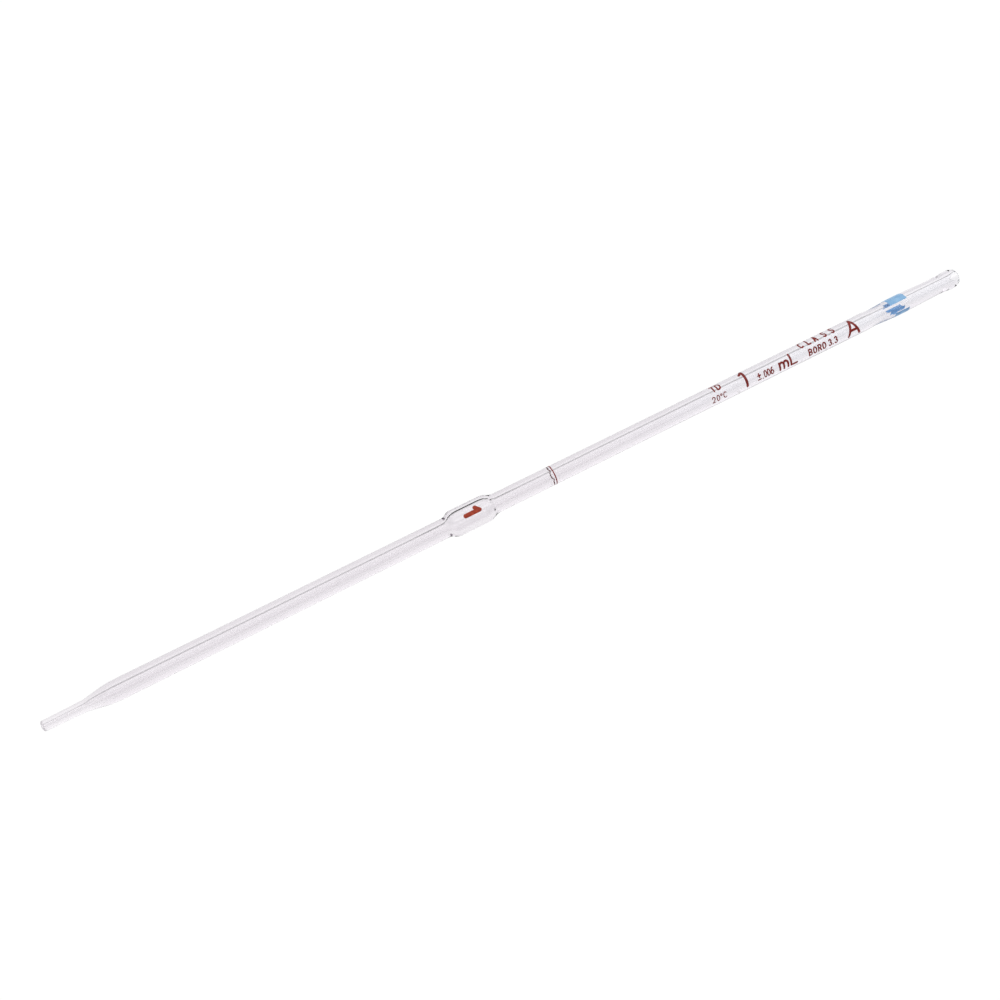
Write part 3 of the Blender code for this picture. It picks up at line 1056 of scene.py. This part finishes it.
@dataclass
class ColourBand:
    """The two blue patches near the mouth, brushed on with slightly uneven edges.

    A patch is (solid, first angle, last angle), in degrees from the reading direction. Heights, the width of
    the eased edge and the waver are in millimetres, and a ripple is what its sine's angle is multiplied by.
    """

    line: TubeLine
    glass: GlassBody
    patches: tuple = (("band_patch_upper", -144.0, -13.0), ("band_patch_lower", 44.0, 175.0))
    proud: float = 0.045
    fused: float = 0.02
    ease: float = 0.30
    waver: float = 0.10
    ripple: float = 9.0
    fine_ripple: float = 23.0
    fine_share: float = 0.6
    end_waver: float = 0.006
    end_ripple: float = 5.0
    end_ease: float = 1.4
    swell: float = 3.0
    rows: int = 40
    columns: int = 90

    def build(self, skins: tuple, foot: bpy.types.Material) -> list:
        """Build both patches.

        Args:
            skins: the material of each patch's outer side; the lower patch's is painted shade, a darker copy
                of the upper's.
            foot: the material of the sides fused into the glass, which show through the wall; painted
                lighter to make up for the wall's dimming.

        Returns:
            The pieces.
        """
        return [self.patch(*patch, skin, foot) for patch, skin in zip(self.patches, skins)]

    def patch(
        self, node: str, first: float, last: float, skin: bpy.types.Material, foot: bpy.types.Material
    ) -> bpy.types.Object:
        """Lay one patch round the tube.

        With u from -1 to 1 along the tube and v from -1 to 1 round it, two sines of v draw the edges across
        the tube in and a sine of u draws the other two in. The height rises from them on a quarter circle.

        Args:
            node: the solid that it stands for.
            first: its first angle from the reading direction, in degrees.
            last: its last angle.
            skin: the material of its outer side.
            foot: the material of its side fused into the glass, painted lighter to make up for the wall's
                dimming.

        Returns:
            The patch.
        """
        low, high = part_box(node)
        middle = (low.x + high.x) / 2.0 - self.line.start
        half = (high.x - low.x) / 2.0
        u, v = np.meshgrid(np.linspace(-1, 1, self.rows), np.linspace(-1, 1, self.columns), indexing="ij")
        side = v * math.radians(last - first) / 2.0
        coarse = np.sin(side * self.ripple + first)
        fine = self.fine_share * np.sin(side * self.fine_ripple + last)
        wave = 1.0 - self.waver * MM / half * (1.0 + coarse + fine) / 2.0
        along = middle + u * half * wave
        centre = READ_ANGLE + math.radians(first + last) / 2.0
        turn = centre + side * (1.0 - self.end_waver * (1.0 + np.sin(u * self.end_ripple + last)))
        inside = np.minimum((1.0 - np.abs(u)) * half, (1.0 - np.abs(v)) * half * self.end_ease)
        edge = inside / (self.ease * MM)
        eased = np.clip(edge, 0.0, 1.0)
        lift = self.proud * MM * np.sqrt(eased * (2.0 - eased))
        sink = self.fused * MM * np.minimum(1.0, edge * self.swell)
        base = self.glass.outside(along)
        over = self.line.points(along, base + lift, turn)
        under = self.line.points(along, base - sink, turn)
        sheet = Surface.grid_faces(self.rows, self.columns, False, False)
        faces = np.concatenate([sheet, sheet[:, ::-1] + len(over)])
        made = Surface.piece(f"{node}_enamel", [(np.concatenate([over, under]), faces)])
        made.data.materials.append(skin)
        made.data.materials.append(foot)
        sides = np.array([face.normal[:] for face in made.data.polygons])
        middles = np.array([face.center[:] for face in made.data.polygons]) - (0.0, 0.0, self.line.height)
        inward = (sides[:, 1:] * middles[:, 1:]).sum(axis=1) < 0.0
        made.data.polygons.foreach_set("material_index", inward.astype(np.int32))
        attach(made, "root")
        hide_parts(node)
        return made


# ----------------------------------------------------------------------------------------------------
# Studio
# ----------------------------------------------------------------------------------------------------


@dataclass(frozen=True)
class SoftBox:
    """A long light beside the tube, seen as a band of directions about the tube's length.

    Its edges are in degrees: 0 is level towards +Y, 90 is straight up and 180 is level towards -Y.
    """

    name: str
    low: float
    high: float
    level: float
    soft: float

    def light(self, turn: Socket) -> Socket:
        """Return the light it adds: its level between its edges, fading to nothing past them.

        Args:
            turn: the direction's turn about the tube's length, in degrees.

        Returns:
            The added light.
        """
        rise = turn.ramp(self.low - self.soft, self.low)
        fall = turn.ramp(self.high, self.high + self.soft)
        return rise * (1.0 - fall) * self.level


@dataclass(frozen=True)
class ShadowCard:
    """A dark card of painted shadow behind the tube, in metres: its ends along X, its edges along Y and its
    height.

    Its level is how pale it is.
    """

    name: str
    low: float
    high: float
    near: float
    far: float
    rise: float
    level: float

    def build(self) -> bpy.types.Object:
        """Lay the card of painted shadow, unseen by the camera, where it draws the dark line along the
        glass.

        Returns:
            The card.
        """
        near = ((self.low, self.near), (self.high, self.near))
        outline = near + ((self.high, self.far), (self.low, self.far))
        mesh = bpy.data.meshes.new(self.name)
        mesh.from_pydata([(x, y, self.rise) for x, y in outline], [], [(0, 1, 2, 3)])
        made = bpy.data.objects.new(self.name, mesh)
        made.data.materials.append(PaintedShadowCard(self.name, self.level).material())
        made.visible_camera = False
        made.visible_diffuse = False
        made.visible_shadow = False
        bpy.context.scene.collection.objects.link(made)
        return made


@dataclass
class Studio:
    """A white board under soft overhead light, with grey surroundings that the glass reflects and bends.

    The camera stands at an azimuth from -Y and an elevation, in degrees, at its reach from its aim, which is
    given from the jet's end on the tube's axis.
    """

    line: TubeLine
    board: float = 40.0
    below: float = 0.0001
    azimuth: float = -28.3
    elevation: float = 66.3
    lens: float = 32.78
    sensor: float = 36.0
    clip: tuple = (0.01, 100.0)
    reach: float = 0.2831
    aim: tuple = (0.14565, 0.00026, 0.0001)
    dome: float = 1.04
    sun: float = 0.22
    sun_angle: float = 30.0
    # Cards of painted shadow: dark sheets on the board beside the tube, seen only through the glass.
    shadow_cards: tuple = (
        ShadowCard("stem_painted_shadow", -0.30, 0.145, 0.0175, 0.040, 0.0001, 0.22),
        ShadowCard("bulb_painted_shadow", -0.042, -0.008, 0.0148, 0.052, 0.0002, 0.01),
    )
    horizon: tuple = (-0.02, 0.0)
    jet_side: tuple = (0.30, 0.55)
    jet_level: float = 0.70
    gloom: float = 0.04
    boxes: tuple = (
        SoftBox("fill", -20.0, 136.0, 0.50, 8.0),
        SoftBox("ceiling", 34.0, 100.0, 0.80, 16.0),
        SoftBox("back_strip", 36.0, 48.0, 0.55, 12.0),
        SoftBox("overhead_strip", 84.0, 96.0, 1.15, 9.0),
    )

    def back(self) -> Vector:
        """Return the direction from the aim to the camera."""
        a = math.radians(self.azimuth)
        e = math.radians(self.elevation)
        return Vector((math.sin(a) * math.cos(e), -math.cos(a) * math.cos(e), math.sin(e)))

    def floor(self) -> bpy.types.Object:
        """Lay the board just under the bulb.

        Returns:
            The board.
        """
        half = self.board / 2.0
        outline = ((-half, -half), (half, -half), (half, half), (-half, half))
        mesh = bpy.data.meshes.new("studio_board")
        mesh.from_pydata([(x, y, 0.0) for x, y in outline], [], [(0, 1, 2, 3)])
        made = bpy.data.objects.new("studio_board", mesh)
        made.location.z = -self.below
        made.data.materials.append(PaleBoard().material())
        bpy.context.scene.collection.objects.link(made)
        return made

    def lights(self) -> None:
        """Hang a weak overhead light; the dome does the rest."""
        sun = bpy.data.lights.new("overhead", "SUN")
        sun.energy = self.sun
        sun.angle = math.radians(self.sun_angle)
        lamp = bpy.data.objects.new("overhead", sun)
        lamp.visible_glossy = False
        lamp.visible_transmission = False
        bpy.context.scene.collection.objects.link(lamp)

    def world(self) -> None:
        """Build the surroundings: an even dome for matt surfaces, soft boxes and a dark front for the glass.

        A direction is read as its turn about the tube's length, in degrees. Towards the jet, and under the
        horizon, the boxes give way to one level. The camera sees plain white.
        """
        world = bpy.data.worlds.new("surroundings")
        world.cycles.sampling_method = "NONE"
        bpy.context.scene.world = world
        tree = Tree(world)
        way = tree.node("ShaderNodeTexCoord", {}, {}, "Generated")
        up = tree.node("ShaderNodeSeparateXYZ", {}, {"Vector": way}, "Z")
        far = tree.node("ShaderNodeSeparateXYZ", {}, {"Vector": way}, "Y")
        turn = tree.node("ShaderNodeMath", {"operation": "ARCTAN2"}, {0: up, 1: far}) / math.radians(1.0)
        along = tree.node("ShaderNodeSeparateXYZ", {}, {"Vector": way}, "X")
        for box in self.boxes:
            LOG.info("%s: %g to %g degrees", box.name, box.low, box.high)
        lights = [box.light(turn) for box in self.boxes]
        around = self.gloom + sum(lights[1:], lights[0])
        around = around + (-1.0 * along).ramp(*self.jet_side) * (self.jet_level - around)
        around = around + (1.0 - up.ramp(*self.horizon)) * (1.0 - around)
        matt = tree.node("ShaderNodeLightPath", {}, {}, "Is Diffuse Ray")
        direct = tree.node("ShaderNodeLightPath", {}, {}, "Is Camera Ray")
        level = around + matt * (self.dome - around)
        level = level + direct * (1.0 - level)
        light = tree.node("ShaderNodeBackground", {}, {"Color": (1.0, 1.0, 1.0, 1.0), "Strength": level})
        tree.node("ShaderNodeOutputWorld", {}, {"Surface": light})

    def camera(self) -> bpy.types.Object:
        """Place the camera.

        Returns:
            The camera.
        """
        data = bpy.data.cameras.new("camera")
        data.lens = self.lens
        data.sensor_width = self.sensor
        data.clip_start, data.clip_end = self.clip
        made = bpy.data.objects.new("camera", data)
        target = Vector((self.line.start, 0.0, self.line.height)) + Vector(self.aim)
        made.location = target + self.back() * self.reach
        made.rotation_euler = self.back().to_track_quat("Z", "Y").to_euler()
        bpy.context.scene.collection.objects.link(made)
        bpy.context.scene.camera = made
        return made

    def build(self) -> None:
        """Build the whole studio."""
        self.floor()
        # Painted shadow: the dark cards that the glass shows beside the tube.
        for card in self.shadow_cards:
            card.build()
        self.lights()
        self.world()
        self.camera()
        bpy.context.scene.view_settings.view_transform = "Standard"


def see_through(piece: bpy.types.Object) -> None:
    """Let lamps and the board's own bounces past a piece, so that it lays no shadow on the board.

    Args:
        piece: the piece.
    """
    piece.visible_shadow = False
    piece.visible_diffuse = False


def main() -> None:
    """Build the pipette and its studio, and report each piece."""
    logging.basicConfig(level=logging.INFO, format="%(message)s")
    line = TubeLine.of_solids()
    glass = GlassBody(line)
    clear = DrawnGlass().material()
    letters = LETTER_ENAMEL.material()
    digit = DIGIT_ENAMEL.material()
    # The lower patch's skin is the darker copy of the band enamel, painted shade.
    skins = (BAND_ENAMEL.material(), SHADED_BAND_ENAMEL.material())

    pieces = [glass.build(clear, GroundEnd().material())]
    pieces += Lettering(line, glass).build(letters, digit)
    pieces.append(GraduationRing(line, glass).build(letters))
    # The fused sides are painted lighter than the band enamel, to make up for the glass wall's dimming.
    pieces += ColourBand(line, glass).build(skins, BAND_FOOT_PAINTED_LIGHT.material())
    for piece in pieces:
        see_through(piece)
        LOG.info("%s: %d faces", piece.name, len(piece.data.polygons))
    Studio(line).build()


if __name__ == "__main__":
    main()
